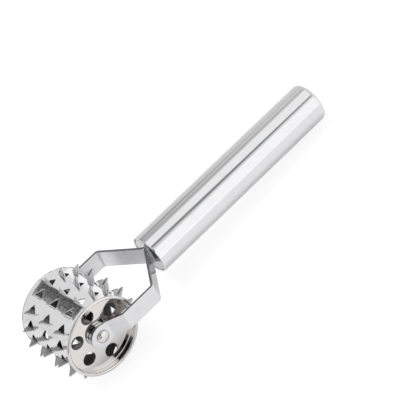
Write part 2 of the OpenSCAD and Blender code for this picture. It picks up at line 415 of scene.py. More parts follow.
@dataclass
class Shop:
    """Turns drawn meshes into finished pieces.

    Args:
        lie: Where the tool lies.
    """

    lie: Lie

    def blank(self, name: str, verts: Sequence[Triple], faces: Sequence[Sequence[int]],
              edges: Sequence[tuple[int, int]] = (), zones: Sequence[Zone] = ()) -> bpy.types.Object:
        """Makes an object from points and faces.

        Args:
            name: Name of the object and its mesh.
            verts: Points in millimetres.
            faces: Faces as lists of point numbers.
            edges: Loose edges as pairs of point numbers.
            zones: The kind of surface of each face, kept as its attribute named zone.

        Returns:
            The new object, linked to the scene.
        """
        mesh = bpy.data.meshes.new(name)
        mesh.from_pydata(verts, edges, faces)
        mesh.validate()
        if zones:
            attribute = mesh.attributes.new("zone", "INT", "FACE")
            attribute.data.foreach_set("value", [zone.value for zone in zones])
        return add(name, mesh)

    def run_tree(self, obj: bpy.types.Object, name: str, draw: Drawer,
                 values: dict[str, Any]) -> None:
        """Runs a Geometry Nodes tree on an object, with its inputs set by identifier.

        Args:
            obj: The object that the tree starts from and whose mesh it replaces.
            name: Name of the tree, which is made once.
            draw: Makes the tree's own nodes from its inputs.
            values: Input values by the input's name. None leaves an object input empty.
        """
        tree = bpy.data.node_groups.get(name) or self.new_tree(name, draw, values)
        modifier = obj.modifiers.new(name, "NODES")
        modifier.node_group = tree
        for item in tree.interface.items_tree:
            if values.get(item.name) is not None:
                modifier[item.identifier] = values[item.name]
        self.bake_down(obj)
        self.outwards(obj)

    def new_tree(self, name: str, draw: Drawer, values: dict[str, Any]) -> bpy.types.NodeTree:
        """Builds a tree that shades, realizes and dresses what its own nodes draw.

        A material input that is named like a zone dresses that zone, any other the whole.

        Args:
            name: Name of the tree.
            draw: Makes the tree's own nodes from its inputs.
            values: Values by the input's name, whose types are those of the inputs.

        Returns:
            The node tree.
        """
        tree = bpy.data.node_groups.new(name, "GeometryNodeTree")
        kinds = {label: SOCKET_KINDS[type(value)] for label, value in values.items()}
        for label, kind in {"Start": "Geometry", **kinds}.items():
            tree.interface.new_socket(label, in_out="INPUT", socket_type=f"NodeSocket{kind}")
        tree.interface.new_socket("Result", in_out="OUTPUT", socket_type="NodeSocketGeometry")
        make = NodeMaker(tree)
        group = make.node("NodeGroupInput")
        given = {s.name: Term(make, s) for s in group.outputs if s.name}
        smooth = make.term("GeometryNodeSetShadeSmooth", {"Geometry": draw(make, given)})
        done = make.term("GeometryNodeRealizeInstances", {"Geometry": smooth})
        zone = make.term("GeometryNodeInputNamedAttribute", {"Name": "zone"}, data_type="INT")
        for label in (label for label, kind in kinds.items() if kind == "Material"):
            dress = {"Geometry": done, "Material": given[label]}
            if label.upper() in Zone.__members__:
                dress["Selection"] = zone.math("COMPARE", Zone[label.upper()].value, 0.1)
            done = make.term("GeometryNodeSetMaterial", dress)
        make.node("NodeGroupOutput", {"Result": done})
        return tree

    def soften(self, obj: bpy.types.Object, width: float, angle: float = 35.0,
               segments: int = 2) -> None:
        """Rounds an object's sharp edges and keeps its flat faces flat.

        Args:
            obj: The object.
            width: Width of the rounding in millimetres.
            angle: Edges sharper than this, in degrees, are rounded.
            segments: Number of faces across the rounding.
        """
        bevel = obj.modifiers.new("soft_edges", "BEVEL")
        bevel.width = width
        bevel.segments = segments
        bevel.limit_method = "ANGLE"
        bevel.angle_limit = math.radians(angle)
        bevel.use_clamp_overlap = True
        bevel.miter_outer = "MITER_ARC"
        flat = obj.modifiers.new("flat_faces", "WEIGHTED_NORMAL")
        flat.mode = "FACE_AREA"
        flat.weight = 50
        self.bake_down(obj)

    def bake_down(self, obj: bpy.types.Object) -> None:
        """Applies every modifier of an object, as its evaluated mesh.

        Args:
            obj: The object, which keeps its name and place.
        """
        depsgraph = bpy.context.evaluated_depsgraph_get()
        done = bpy.data.meshes.new_from_object(
            obj.evaluated_get(depsgraph), preserve_all_data_layers=True, depsgraph=depsgraph
        )
        done.name = obj.name
        obj.modifiers.clear()
        obj.data = done

    def outwards(self, obj: bpy.types.Object) -> None:
        """Flips a closed mesh whose faces point inwards.

        Args:
            obj: The object of the mesh.
        """
        work = bmesh.new()
        work.from_mesh(obj.data)
        volume = work.calc_volume(signed=True)
        work.free()
        if volume < 0:
            obj.data.flip_normals()

    def finish(self, obj: bpy.types.Object, body: Body, slot: str, *names: str) -> None:
        """Lays a piece where the CAD is and ties it to its body.

        Args:
            obj: The piece, drawn in millimetres.
            body: The body that it rides on.
            slot: The record's material slot; not used.
            names: CAD nodes that it replaces.
        """
        obj.data.transform(self.lie.matrix(body))
        obj.data.update()
        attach(obj, body.value)
        if names:
            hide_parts(*names)
        LOG.info("%s: %d faces on %s", obj.name, len(obj.data.polygons), body.value)


def arc(middle: Point, radius: float, start: float, end: float, steps: int = 8) -> list[Point]:
    """Draws a round arc.

    Args:
        middle: Its centre.
        radius: Its radius.
        start: First angle in degrees.
        end: Last angle in degrees.
        steps: Number of straight steps.

    Returns:
        The points of the arc.
    """
    angles = [math.radians(start + (end - start) * k / steps) for k in range(steps + 1)]
    return [(middle[0] + radius * math.cos(a), middle[1] + radius * math.sin(a)) for a in angles]


def circle(x: float, radius: float, steps: int) -> list[Point]:
    """Returns the points of a whole circle about a point of the X axis."""
    return arc((x, 0.0), radius, 0, 360, steps)[:-1]


def oval(wide: float, foot: float, high: float, degrees: Sequence[float],
         flat: float = 2.0) -> list[Point]:
    """Draws a dome's section as part of an oval.

    Args:
        wide: Radius of the dome at its foot.
        foot: Height of its foot.
        high: Height of the dome above its foot.
        degrees: Angles of the points, from 0 at the foot to 90 on top.
        flat: 2 for an ellipse, more for a steeper side and a flatter top.

    Returns:
        The points as radius and height.
    """
    angles = [math.radians(degree) for degree in degrees]
    return [(wide * math.cos(a) ** (2 / flat), foot + high * math.sin(a)) for a in angles]


@dataclass
class Turning:
    """Makes turned pieces.

    Args:
        shop: The shop that finishes them.
        sharp: Edges sharper than this, in degrees, stay sharp where nothing rounds them.
        weld: Points of a turned profile that are nearer than this are joined, in millimetres.
    """

    shop: Shop
    sharp: float = 40.0
    weld: float = 0.0005

    def turn(self, name: str, profile: Sequence[Point], finish: SteelFinish, axis: Axis,
             segments: int, edge: float = 0.0, cutter: bpy.types.Object | None = None,
             count: int = 0, circle_r: float = 0.0, first: float = 0.0) -> bpy.types.Object:
        """Turns a closed profile into a piece about the tool's origin.

        Args:
            name: Name of the piece.
            profile: Points of radius and height; the last joins the first.
            finish: The finish of its surface.
            axis: Where the profile's height points in the tool.
            segments: Straight steps round the full turn.
            edge: Rounding of sharp edges in millimetres, or 0 to leave them sharp.
            cutter: An object that is cut out of it, drawn about the piece's own Z.
            count: How many cutters stand on the circle.
            circle_r: Radius of the circle that the cutters stand on.
            first: Angle of the first cutter, in degrees.

        Returns:
            The piece, still in millimetres.
        """
        verts = [(radius, 0.0, height) for radius, height in profile]
        ring = [(k, (k + 1) % len(verts)) for k in range(len(verts))]
        piece = self.shop.blank(name, verts, [], ring)
        self.shop.run_tree(piece, "turned_piece", self.draw, {
            "Segments": segments,
            "Cutter": cutter,
            "Cutter count": count,
            "Cutter circle radius": float(circle_r),
            "First cutter angle": math.radians(first),
            "Finish": finish.material(),
        })
        if edge:
            self.shop.soften(piece, edge)
        else:
            piece.data.set_sharp_from_angle(angle=math.radians(self.sharp))
        if cutter is not None:
            bpy.data.objects.remove(cutter)
        piece.data.transform(Matrix(axis.value).to_4x4())
        return piece

    def draw(self, make: NodeMaker, given: dict[str, Term]) -> Term:
        """Turns a closed profile about Z and cuts a ring of openings in it.

        The start is the profile: its points hold the radius in X and the height in Z.

        Args:
            make: Makes the tree's nodes.
            given: The tree's inputs.

        Returns:
            The turned and cut piece.
        """
        profile, count = given["Start"], given["Cutter count"]
        measure = {"Geometry": profile}
        points = make.term("GeometryNodeAttributeDomainSize", measure, component="MESH")
        rows = points + 1
        cells = {"Size X": 1.0, "Size Y": 1.0, "Vertices X": given["Segments"] + 1,
                 "Vertices Y": rows}
        grid = make.term("GeometryNodeMeshGrid", cells, output="Mesh")
        index = make.term("GeometryNodeInputIndex")
        column = (index / rows + TINY).math("FLOOR")
        row = index - column * rows
        position = make.term("GeometryNodeInputPosition")
        sample = {"Geometry": profile, "Value": position, "Index": row % points}
        sampled = make.term(
            "GeometryNodeSampleIndex", sample, data_type="FLOAT_VECTOR", domain="POINT"
        )
        radius, _, height = make.axes(sampled)
        turned = make.around(radius, column / given["Segments"] * math.tau)
        ring = {"Geometry": grid, "Position": make.vector(*turned, height)}
        shaped = make.term("GeometryNodeSetPosition", ring)
        weld = {"Geometry": shaped, "Distance": self.weld}
        merged = make.term("GeometryNodeMergeByDistance", weld)
        line = make.term("GeometryNodeMeshLine", {"Count": count})
        angle = index / count * math.tau + given["First cutter angle"]
        spread = make.vector(*make.around(given["Cutter circle radius"], angle), 0.0)
        spots = make.term("GeometryNodeSetPosition", {"Geometry": line, "Position": spread})
        cutter = make.term("GeometryNodeObjectInfo", {"Object": given["Cutter"]}, "Geometry")
        cutters = make.term("GeometryNodeInstanceOnPoints", {"Points": spots, "Instance": cutter})
        solid = make.term("GeometryNodeRealizeInstances", {"Geometry": cutters})
        both = {"Mesh 1": merged, "Mesh 2": solid}
        cut = make.term("GeometryNodeMeshBoolean", both, "Mesh", operation="DIFFERENCE")
        choice = {"Switch": count.math("LESS_THAN", 1), "False": cut, "True": merged}
        return make.term("GeometryNodeSwitch", choice, input_type="GEOMETRY")

    def prism(self, name: str, ring: Sequence[Point], depth: float,
              height: float) -> bpy.types.Object:
        """Makes an upright prism that serves as a cutter.

        Args:
            name: Its name.
            ring: Its outline, anticlockwise.
            depth: Its length.
            height: Where its middle stands along Z.

        Returns:
            The prism.
        """
        count = len(ring)
        verts = [(x, y, height + way * depth / 2) for way in (-1, 1) for x, y in ring]
        sides = [(k, (k + 1) % count, count + (k + 1) % count, count + k) for k in range(count)]
        ends = [tuple(reversed(range(count))), tuple(range(count, 2 * count))]
        return self.shop.blank(name, verts, sides + ends)


class Plate:
    """A flat sheet with rounded openings, cut into triangles along given columns."""

    def __init__(self, points: list[Point], chains: list[list[Point]], closed: list[list[Point]],
                 gap: float) -> None:
        """Cuts the sheet.

        Args:
            points: Free points inside the sheet.
            chains: Open lines whose points stay joined.
            closed: Closed loops whose points stay joined.
            gap: Points of the first two that are nearer than this to a loop are left out.
        """
        def clear(point: Point) -> bool:
            """Says whether a point keeps its distance from the loops."""
            return all(math.dist(point, other) >= gap for loop in closed for other in loop)

        coords: list[Point] = [point for point in points if clear(point)]
        edges: list[tuple[int, int]] = []
        for chain in chains:
            numbers: dict[int, int] = {}
            for k, point in enumerate(chain):
                if clear(point):
                    numbers[k] = len(coords)
                    coords.append(point)
            edges += [(numbers[k], numbers[k + 1]) for k in numbers if k + 1 in numbers]
        for loop in closed:
            first = len(coords)
            coords += loop
            edges += [(first + k, first + (k + 1) % len(loop)) for k in range(len(loop))]
        out = delaunay_2d_cdt([Vector(c) for c in coords], edges, [], 0, 1e-5, False)
        self.points: list[Point] = [(v.x, v.y) for v in out[0]]
        self.triangles: list[tuple[int, int, int]] = [tuple(f) for f in out[2]]

    def keep(self, wanted: Callable[[Point], bool]) -> list[tuple[int, int, int]]:
        """Returns the triangles whose middle is wanted, all anticlockwise.

        Args:
            wanted: Says whether a point belongs to the sheet.

        Returns:
            Triangles as point numbers.
        """
        kept = []
        for a, b, c in self.triangles:
            pa, pb, pc = self.points[a], self.points[b], self.points[c]
            middle = ((pa[0] + pb[0] + pc[0]) / 3, (pa[1] + pb[1] + pc[1]) / 3)
            area = (pb[0] - pa[0]) * (pc[1] - pa[1]) - (pb[1] - pa[1]) * (pc[0] - pa[0])
            if wanted(middle) and abs(area) > 1e-9:
                kept.append((a, b, c) if area > 0 else (a, c, b))
        return kept


def in_loop(point: Point, loop: Sequence[Point]) -> bool:
    """Says whether a point lies inside a closed loop.

    Args:
        point: The point.
        loop: Corners of the loop.

    Returns:
        True if it is inside.
    """
    inside = False
    x, y = point
    for (x0, y0), (x1, y1) in zip(loop, (*loop[1:], loop[0])):
        if (y0 > y) != (y1 > y) and x < x0 + (y - y0) / (y1 - y0) * (x1 - x0):
            inside = not inside
    return inside


def corner(before: Vector, here: Vector, after: Vector) -> tuple[Vector, Vector, float]:
    """Measures a corner of a line.

    Args:
        before: The point before it.
        here: The corner.
        after: The point after it.

    Returns:
        The directions into it and towards its left, and how far the line turns there.
    """
    into, away = (here - before).normalized(), (after - here).normalized()
    turn = math.atan2(into.x * away.y - into.y * away.x, into.dot(away))
    return into, Vector((-into.y, into.x)), turn


def rounded(corners: Sequence[Point], radius: float, grow: float, step: float) -> list[Point]:
    """Draws a closed outline with rounded corners.

    Args:
        corners: Its sharp corners, anticlockwise.
        radius: Radius of the corners.
        grow: How far the whole outline is moved outwards.
        step: Longest straight step.

    Returns:
        Points of the outline, anticlockwise.
    """
    count = len(corners)
    out: list[Point] = []
    for k in range(count):
        before, here, after = (Vector(corners[(k + d) % count]) for d in (-1, 0, 1))
        into, left, angle = corner(before, here, after)
        middle = here - into * (radius * math.tan(angle / 2)) + left * radius
        start = math.degrees(math.atan2(-left.y, -left.x))
        steps = max(3, round(math.degrees(angle) / 20))
        bend = arc((middle.x, middle.y), radius + grow, start, start + math.degrees(angle), steps)
        if out:
            out += straight(out[-1], bend[0], step)[1:-1]
        out += bend
    return out + straight(out[-1], out[0], step)[1:-1]


def straight(start: Point, end: Point, step: float) -> list[Point]:
    """Draws a straight line with both of its ends.

    Args:
        start: Its start.
        end: Its end.
        step: Longest straight step.

    Returns:
        The points of the line.
    """
    count = max(1, math.ceil(math.dist(start, end) / step))
    return [
        (start[0] + (end[0] - start[0]) * k / count, start[1] + (end[1] - start[1]) * k / count)
        for k in range(count + 1)
    ]


def off_line(point: Point, start: Point, end: Point) -> float:
    """Measures a point's distance from a straight line between two points.

    Args:
        point: The point.
        start: Start of the line.
        end: End of the line.

    Returns:
        The distance.
    """
    run = (end[0] - start[0], end[1] - start[1])
    reach = (point[0] - start[0]) * run[0] + (point[1] - start[1]) * run[1]
    share = min(1.0, max(0.0, reach / max(run[0] ** 2 + run[1] ** 2, 1e-12)))
    return math.dist(point, (start[0] + run[0] * share, start[1] + run[1] * share))


def spaced(start: float, end: float, step: float) -> list[float]:
    """Returns evenly spaced numbers from start to end, no further apart than step."""
    count = max(1, math.ceil((end - start) / step - 1e-9))
    return [start + (end - start) * k / count for k in range(count + 1)]


@dataclass
class Group:
    """One sub-assembly. Its sizes are in millimetres.

    Args:
        shop: Finishes its pieces.
        turning: Makes its turned pieces.
    """

    shop: Shop
    turning: Turning


@dataclass
class Roller(Group):
    """The punched sleeve with its teeth and its two pressed end caps."""

    sleeve_r: float = 23.0
    sheet: float = 0.7
    half_len: float = 22.1
    sleeve_len: float = 42.3
    rows: int = 15
    row_pitch: float = 9.3
    first_row: float = 258.4163
    teeth: int = 3
    tooth_pitch: float = 13.8
    tooth_base: float = 6.1
    tooth_h: float = 5.25
    hole_h: float = 4.6
    hole_corner: float = 0.3
    bulge: float = 0.22
    crease: float = 0.72
    round_end: float = 4.5
    end_share: float = 0.5
    seat_r: float = 22.28
    seat_reach: float = 1.0
    flare: float = 0.45
    flare_len: float = 2.2
    burr: float = 0.06
    groove: float = 0.2
    groove_half: float = 0.05
    weld: float = 0.002
    lip_h: float = 0.13
    lip_w: float = 1.9
    bend_r: float = 0.42
    fold_start: float = 0.45
    fold_draw: float = 0.15
    tip_half: float = 0.16
    tip_round: float = 0.45
    tip_thin: float = 0.86
    tip_end: float = 0.05
    edge_soft: float = 0.09
    lean: float = 1.6
    twist: float = 1.8
    sheet_sharp: float = 38.0
    tooth_sharp: float = 50.0
    cap_t: float = 0.55
    cap_face: float = 18.2
    rim_r: float = 23.6
    wall_r: float = 22.25
    wall_corner: float = 0.5
    rim_reach: float = 0.05
    cap_hole_d: float = 8.2
    cap_hole_circle: float = 29.2
    cap_holes: int = 6
    cap_hole_turn: float = 29.0
    bore_r: float = 3.06
    bore_lip: float = 0.5
    collar_t: float = 0.6
    collar_len: float = 3.2
    fillet: float = 0.25
    seed: int = 7
    columns: tuple[float, ...] = (
        -6.3, -5.4, -4.8, -4.2, -3.6, -3.0, -2.4, -1.8, -1.2, -0.7,
        -0.25, 0.0, 0.25, 0.7, 1.2, 1.8, 2.4, 3.0,
    )
    bend_levels: tuple[float, ...] = (
        -0.66, -0.55, -0.4, -0.25, -0.1, 0.05, 0.15, 0.28, 0.42, 0.8, 1.8, 3.0, 4.2,
    )
    below_tip: tuple[float, ...] = (0.42, 0.2, 0.06, 0.0)

    def make(self) -> None:
        """Makes every piece of the roller."""
        self.make_sleeve()
        self.make_teeth()
        for side in Side:
            self.make_cap(side)

    def hole_corners(self, place: float) -> list[Point]:
        """Works out the hole of one tooth in the unrolled sheet.

        Args:
            place: Where the tooth stands along the axle.

        Returns:
            The hole's sharp corners.
        """
        fold, half, middle = self.sheet / 2, self.tooth_base / 2, self.hole_h / 2
        inset, side = half - self.fold_draw, half / 2 + self.bulge
        return [
            (self.fold_start, place - half), (self.fold_start, place + half),
            (-fold, place + inset), (-fold - middle, place + side),
            (-fold - self.hole_h, place),
            (-fold - middle, place - side), (-fold, place - inset),
        ]

    def lip(self, point: Point, rims: Sequence[Sequence[Point]]) -> float:
        """Returns how far the punch has raised the sheet at a point beside a hole.

        Args:
            point: The point of the unrolled sheet.
            rims: Outlines of the holes.

        Returns:
            The height in millimetres.
        """
        away = min(
            (off_line(point, a, b) for rim in rims for a, b in zip(rim, (*rim[1:], rim[0]))),
            default=self.lip_w,
        )
        near = max(0.0, 1 - away / self.lip_w)
        return self.lip_h * near**2 * min(1.0, max(0.0, -point[0]))

    def slab(self, name: str, columns: Sequence[float], holes: Sequence[Sequence[Point]],
             seam: float | None = None) -> bpy.types.Object:
        """Draws a stretch of the unrolled sheet: X runs round it, Y along it, Z is its depth.

        Args:
            name: Name of the object.
            columns: Places of the grid's columns.
            holes: Corners of its holes.
            seam: Where the butt seam's groove runs, or None.

        Returns:
            The stretch with a face attribute named zone.
        """
        level_step, rim_step, ring_step, margin = 0.95, 0.8, 0.6, 0.2
        chains = [[(x, y) for y in spaced(-self.sleeve_len / 2, self.sleeve_len / 2, level_step)]
                  for x in columns]
        rims = [rounded(hole, self.hole_corner, 0.0, rim_step) for hole in holes]
        rings = [rounded(hole, self.hole_corner, self.burr, rim_step) for hole in holes]
        free = [
            point
            for hole in holes
            for grow in (0.4, 0.8, 1.3)
            for point in rounded(hole, self.hole_corner, grow, ring_step)
            if columns[0] + margin < point[0] < 0.0
        ]
        plate = Plate(free, chains, rims + rings, margin)
        inner = {self.key(point) for rim in rims for point in rim}
        at_rim = [self.key(point) in inner for point in plate.points]
        tris = plate.keep(lambda p: not any(in_loop(p, rim) for rim in rims))
        top, low = [], []
        for (x, y), torn in zip(plate.points, at_rim):
            burr = self.burr if torn else 0.0
            sunk = self.groove if seam is not None and abs(x - seam) < self.groove_half else burr
            raised = self.lip((x, y), rims)
            top.append((x, y, raised - sunk))
            low.append((x, y, raised - self.sheet + burr))
        count = len(top)
        faces: list[tuple[int, ...]] = []
        zones: list[Zone] = []
        for a, b, c in tris:
            faces += [(a, b, c), (count + c, count + b, count + a)]
            zones += [Zone.CUT if at_rim[a] or at_rim[b] or at_rim[c] else Zone.OUTSIDE]
            zones += [Zone.INSIDE]
        sides = dict.fromkeys(pair for a, b, c in tris for pair in ((a, b), (b, c), (c, a)))
        for a, b in sides:
            xs = (plate.points[a][0], plate.points[b][0])
            joined = max(xs) < columns[0] + 1e-4 or min(xs) > columns[-1] - 1e-4
            if (b, a) not in sides and not joined:
                faces.append((b, a, count + a, count + b))
                zones.append(Zone.WALL)
        return self.shop.blank(name, top + low, faces, zones=zones)

    @staticmethod
    def key(point: Point) -> tuple[int, int]:
        """Returns a point rounded so that it can be looked up."""
        return (round(point[0] * 1000), round(point[1] * 1000))

    def make_sleeve(self) -> None:
        """Makes the punched sheet: one row is drawn flat, repeated and rolled up by nodes."""
        middle = (self.teeth - 1) / 2
        holes = [self.hole_corners((k - middle) * self.tooth_pitch) for k in range(self.teeth)]
        row = self.slab("sleeve_row", self.columns, holes)
        full = math.tau * self.sleeve_r
        start = (self.rows - 1) * self.row_pitch + self.columns[-1]
        seam = full - (full - (self.rows - 1) * self.row_pitch) / 2
        step, brim = 0.6, 0.2
        beside = {seam - brim, seam, seam + brim, full + self.columns[0]}
        plain = sorted({*spaced(start, seam - step, step), *beside})
        strip = self.slab("roller_sleeve", plain, [], seam)
        self.shop.run_tree(strip, "rolled_rows", self.draw_rolled, {
            "Row": row,
            "Rows": self.rows,
            "Row pitch": self.row_pitch,
            "Radius": self.sleeve_r,
            "First row angle": math.radians(self.first_row),
            "Crease": self.crease,
            "Half length": self.sleeve_len / 2,
            "Round end": self.round_end,
            "End share": self.end_share,
            "Seat radius": self.seat_r,
            "Seat start": self.cap_face - self.seat_reach,
            "Flare": self.flare,
            "Flare length": self.flare_len,
            "Outside": Finishes.sleeve.material(),
            "Cut": Finishes.shear.material(),
            "Wall": Finishes.torn.material(),
            # The sheet's inside gets a near-black colour: painted shade inside the drum.
            "Inside": Finishes.inside.material(),
        })
        strip.data.set_sharp_from_angle(angle=math.radians(self.sheet_sharp))
        bpy.data.objects.remove(row)
        self.shop.finish(strip, Body.ROLLER, "sleeve_steel", "toothed_sleeve")

    def draw_rolled(self, make: NodeMaker, given: dict[str, Term]) -> Term:
        """Repeats a flat row of the sheet beside the seam's strip and rolls them up.

        Each panel between two rows is flatter than the round, and the sheet creases at the rows.

        Args:
            make: Makes the tree's nodes.
            given: The tree's inputs.

        Returns:
            The rolled sheet.
        """
        pitch, round_r = given["Row pitch"], given["Radius"]
        row = make.term("GeometryNodeObjectInfo", {"Object": given["Row"]}, "Geometry")
        rows = {"Count": given["Rows"], "Offset": make.vector(pitch, 0.0, 0.0)}
        line = make.term("GeometryNodeMeshLine", rows)
        copies = make.term("GeometryNodeInstanceOnPoints", {"Points": line, "Instance": row})
        flat = make.term("GeometryNodeRealizeInstances", {"Geometry": copies})
        join = make.node("GeometryNodeJoinGeometry")
        for part in (flat, given["Start"]):
            make.tree.links.new(part.socket, join.inputs[0])
        along, across, depth = make.axes(make.term("GeometryNodeInputPosition"))
        place = along / pitch
        punched = place.math("LESS_THAN", given["Rows"] - 1) * place.math("GREATER_THAN", 0.0)
        from_end = given["Half length"] - abs(across)
        smooth_in = from_end.rise(0.0, given["Round end"], given["End share"])
        bent = given["Crease"] * smooth_in * punched + TINY
        step_angle = pitch / round_r
        swing = (place % 1.0 - 0.5) * step_angle
        edge = (bent * step_angle * 0.5).math("COSINE")
        flatness = ((bent * swing).math("COSINE") / edge) ** (-1.0 / bent)
        seat = abs(across).math("GREATER_THAN", given["Seat start"]) * given["Seat radius"]
        outwards = (1.0 - from_end / given["Flare length"]).math("MAXIMUM", 0.0) ** 2
        radius = round_r * flatness + depth + outwards * given["Flare"]
        angle = along / round_r + given["First row angle"]
        x, z = make.around(radius.math("MAXIMUM", seat), angle)
        rolled = {"Geometry": join.outputs[0], "Position": make.vector(x, across, z)}
        shaped = make.term("GeometryNodeSetPosition", rolled)
        weld = {"Geometry": shaped, "Distance": self.weld}
        return make.term("GeometryNodeMergeByDistance", weld)

    def tab(self) -> bpy.types.Object:
        """Draws one tooth: X points outwards from the sheet's face, Y runs along the axle.

        Returns:
            The tooth as a closed mesh with a face attribute named zone.
        """
        half_t, soft = self.sheet / 2, self.edge_soft
        outer_r = self.bend_r + self.sheet
        levels = [*self.bend_levels, *(self.tooth_h - below for below in self.below_tip)]
        verts: list[Triple] = []
        for level in levels:
            share = min(1.0, 1 - max(level, 0.0) / self.tooth_h)
            reach = (self.tooth_base / 2 * share + self.tip_half * (1 - share)
                     + 4 * self.bulge * share * (1 - share))
            if level > self.tooth_h - self.tip_round:
                left = max(0.0, (self.tooth_h - level) / self.tip_round)
                reach = max(self.tip_end, reach * math.sqrt(max(0.0, 1 - (1 - left) ** 2)))
            under = max(0.0, self.bend_r - level)
            inner_arc = math.sqrt(self.bend_r**2 - min(under, self.bend_r) ** 2)
            back = half_t + self.bend_r - inner_arc
            ahead = math.sqrt(outer_r**2 - under**2) - self.bend_r - half_t
            thin = 1.0 if level < self.tooth_h - self.below_tip[1] else self.tip_thin
            ring = [
                (reach - soft, -ahead * thin), (reach, -(ahead - soft) * thin),
                (reach, (back - soft) * thin), (reach - soft, back * thin),
            ]
            loop = ring + [(-y, z) for y, z in reversed(ring)]
            verts += [(level, max(-reach, min(reach, y)), z) for y, z in loop]
        count = 8
        faces: list[tuple[int, ...]] = []
        zones: list[Zone] = []
        for low in range(0, (len(levels) - 1) * count, count):
            for j in range(count):
                after = (j + 1) % count
                faces.append((low + j, low + after, low + count + after, low + count + j))
                zones.append({3: Zone.OUTSIDE, 7: Zone.INSIDE}.get(j, Zone.CUT))
        last = (len(levels) - 1) * count
        faces += [tuple(reversed(range(count))), tuple(range(last, last + count))]
        zones += [Zone.INSIDE, Zone.CUT]
        made = self.shop.blank("tooth_blank", verts, faces, zones=zones)
        self.shop.outwards(made)
        return made

    def make_teeth(self) -> None:
        """Makes all teeth: nodes set them out in rows, each bent a little differently."""
        blank = self.tab()
        teeth = self.shop.blank("roller_teeth", [(0, 0, 0)], [])
        self.shop.run_tree(teeth, "tooth_rows", self.draw_teeth, {
            "Tooth": blank,
            "Rows": self.rows,
            "Row angle": self.row_pitch / self.sleeve_r,
            "First row angle": math.radians(self.first_row),
            "Teeth in a row": self.teeth,
            "Tooth pitch": self.tooth_pitch,
            "Radius": self.sleeve_r,
            "Lean": math.radians(self.lean),
            "Twist": math.radians(self.twist),
            "Seed": self.seed,
            # Both faces of a tooth get colours darker than the sheet's: painted shade.
            "Outside": Finishes.tab.material(),
            "Inside": Finishes.tooth_inside_shade.material(),
            "Cut": Finishes.shear.material(),
        })
        teeth.data.set_sharp_from_angle(angle=math.radians(self.tooth_sharp))
        bpy.data.objects.remove(blank)
        self.shop.finish(teeth, Body.ROLLER, "sleeve_steel")

    def draw_teeth(self, make: NodeMaker, given: dict[str, Term]) -> Term:
        """Sets out the teeth round the sleeve.

        Args:
            make: Makes the tree's nodes.
            given: The tree's inputs.

        Returns:
            The teeth as real geometry.
        """
        teeth = given["Teeth in a row"]
        line = make.term("GeometryNodeMeshLine", {"Count": given["Rows"] * teeth})
        index = make.term("GeometryNodeInputIndex")
        row = (index / teeth + TINY).math("FLOOR")
        place = index - row * teeth
        angle = row * given["Row angle"] + given["First row angle"]
        across = (place - (teeth - 1) * 0.5) * given["Tooth pitch"]
        x, z = make.around(given["Radius"], angle)
        spots = {"Geometry": line, "Position": make.vector(x, across, z)}
        points = make.term("GeometryNodeSetPosition", spots)
        tooth = make.term("GeometryNodeObjectInfo", {"Object": given["Tooth"]}, "Geometry")
        upright = make.vector(0.0, angle * -1.0, 0.0)
        stand = {"Points": points, "Instance": tooth, "Rotation": upright}
        stood = make.term("GeometryNodeInstanceOnPoints", stand)
        draws = {"Min": (-1.0, -1.0, 0.0), "Max": (1.0, 1.0, 0.0), "ID": index,
                 "Seed": given["Seed"]}
        chance = make.term("FunctionNodeRandomValue", draws, data_type="FLOAT_VECTOR")
        twist, lean, _ = make.axes(chance)
        wobble = make.vector(twist * given["Twist"], lean * given["Lean"], 0.0)
        bent = make.term("GeometryNodeRotateInstances", {"Instances": stood, "Rotation": wobble})
        return make.term("GeometryNodeRealizeInstances", {"Geometry": bent})

    def cap_profile(self) -> list[Point]:
        """Works out the section of a cap.

        Returns:
            Its points as radius and distance from the roller's middle.
        """
        close, near, beside, past_fillet, far = 0.05, 0.3, 0.4, 0.6, 1.4
        face, back = self.cap_face, self.cap_face - self.cap_t
        wall_in, turn_r = self.wall_r - self.cap_t, self.wall_corner
        outer_r = turn_r + self.cap_t
        curl_r = (self.rim_r - wall_in) / 2
        curl = (self.rim_r - curl_r, self.half_len - curl_r)
        collar_r, bore_lip = self.bore_r + self.collar_t, self.bore_lip
        return [
            (self.bore_r, back - self.collar_len),
            (collar_r, back - self.collar_len),
            (collar_r, back - self.fillet),
            *arc((collar_r + self.fillet, back - self.fillet), self.fillet, 180, 90, 4)[1:],
            (collar_r + past_fillet, back),
            (self.wall_r - outer_r - beside, back),
            *arc((self.wall_r - outer_r, back + outer_r), outer_r, -90, 0, 8),
            (self.wall_r, curl[1] - far),
            (self.wall_r, curl[1] - near),
            *arc(curl, curl_r - self.cap_t, 180, 0, 8),
            (self.rim_r - self.cap_t, curl[1] - self.rim_reach),
            (self.rim_r, curl[1] - self.rim_reach),
            *arc(curl, curl_r, 0, 180, 20),
            (wall_in, curl[1] - near),
            (wall_in, face + turn_r + near),
            *arc((wall_in - turn_r, face + turn_r), turn_r, 0, -90, 7),
            (wall_in - turn_r - beside, face),
            (self.bore_r + far, face),
            (self.bore_r + bore_lip + close, face),
            *arc((self.bore_r + bore_lip, face - bore_lip), bore_lip, 90, 180, 5)[1:],
        ]

    def make_cap(self, side: Side) -> None:
        """Makes one pressed end cap with its round holes.

        Args:
            side: The end that it closes.
        """
        ring = circle(0.0, self.cap_hole_d / 2, 64)
        middle = self.cap_face - self.cap_t / 2
        drill = self.turning.prism("drill", ring, 4 * self.cap_t, middle)
        axle = self.shop.lie.axle
        node = side.node("end_cap")
        cap = self.turning.turn(
            f"{node}_pressed", self.cap_profile(), replace(Finishes.cap, axle=(axle.x, axle.z)),
            side.value, segments=144, edge=0.1, cutter=drill, count=self.cap_holes,
            circle_r=self.cap_hole_circle / 2,
            first=self.cap_hole_turn if side is Side.FRONT else -self.cap_hole_turn,
        )
        self.shop.finish(cap, Body.ROLLER, "cap_steel", node)


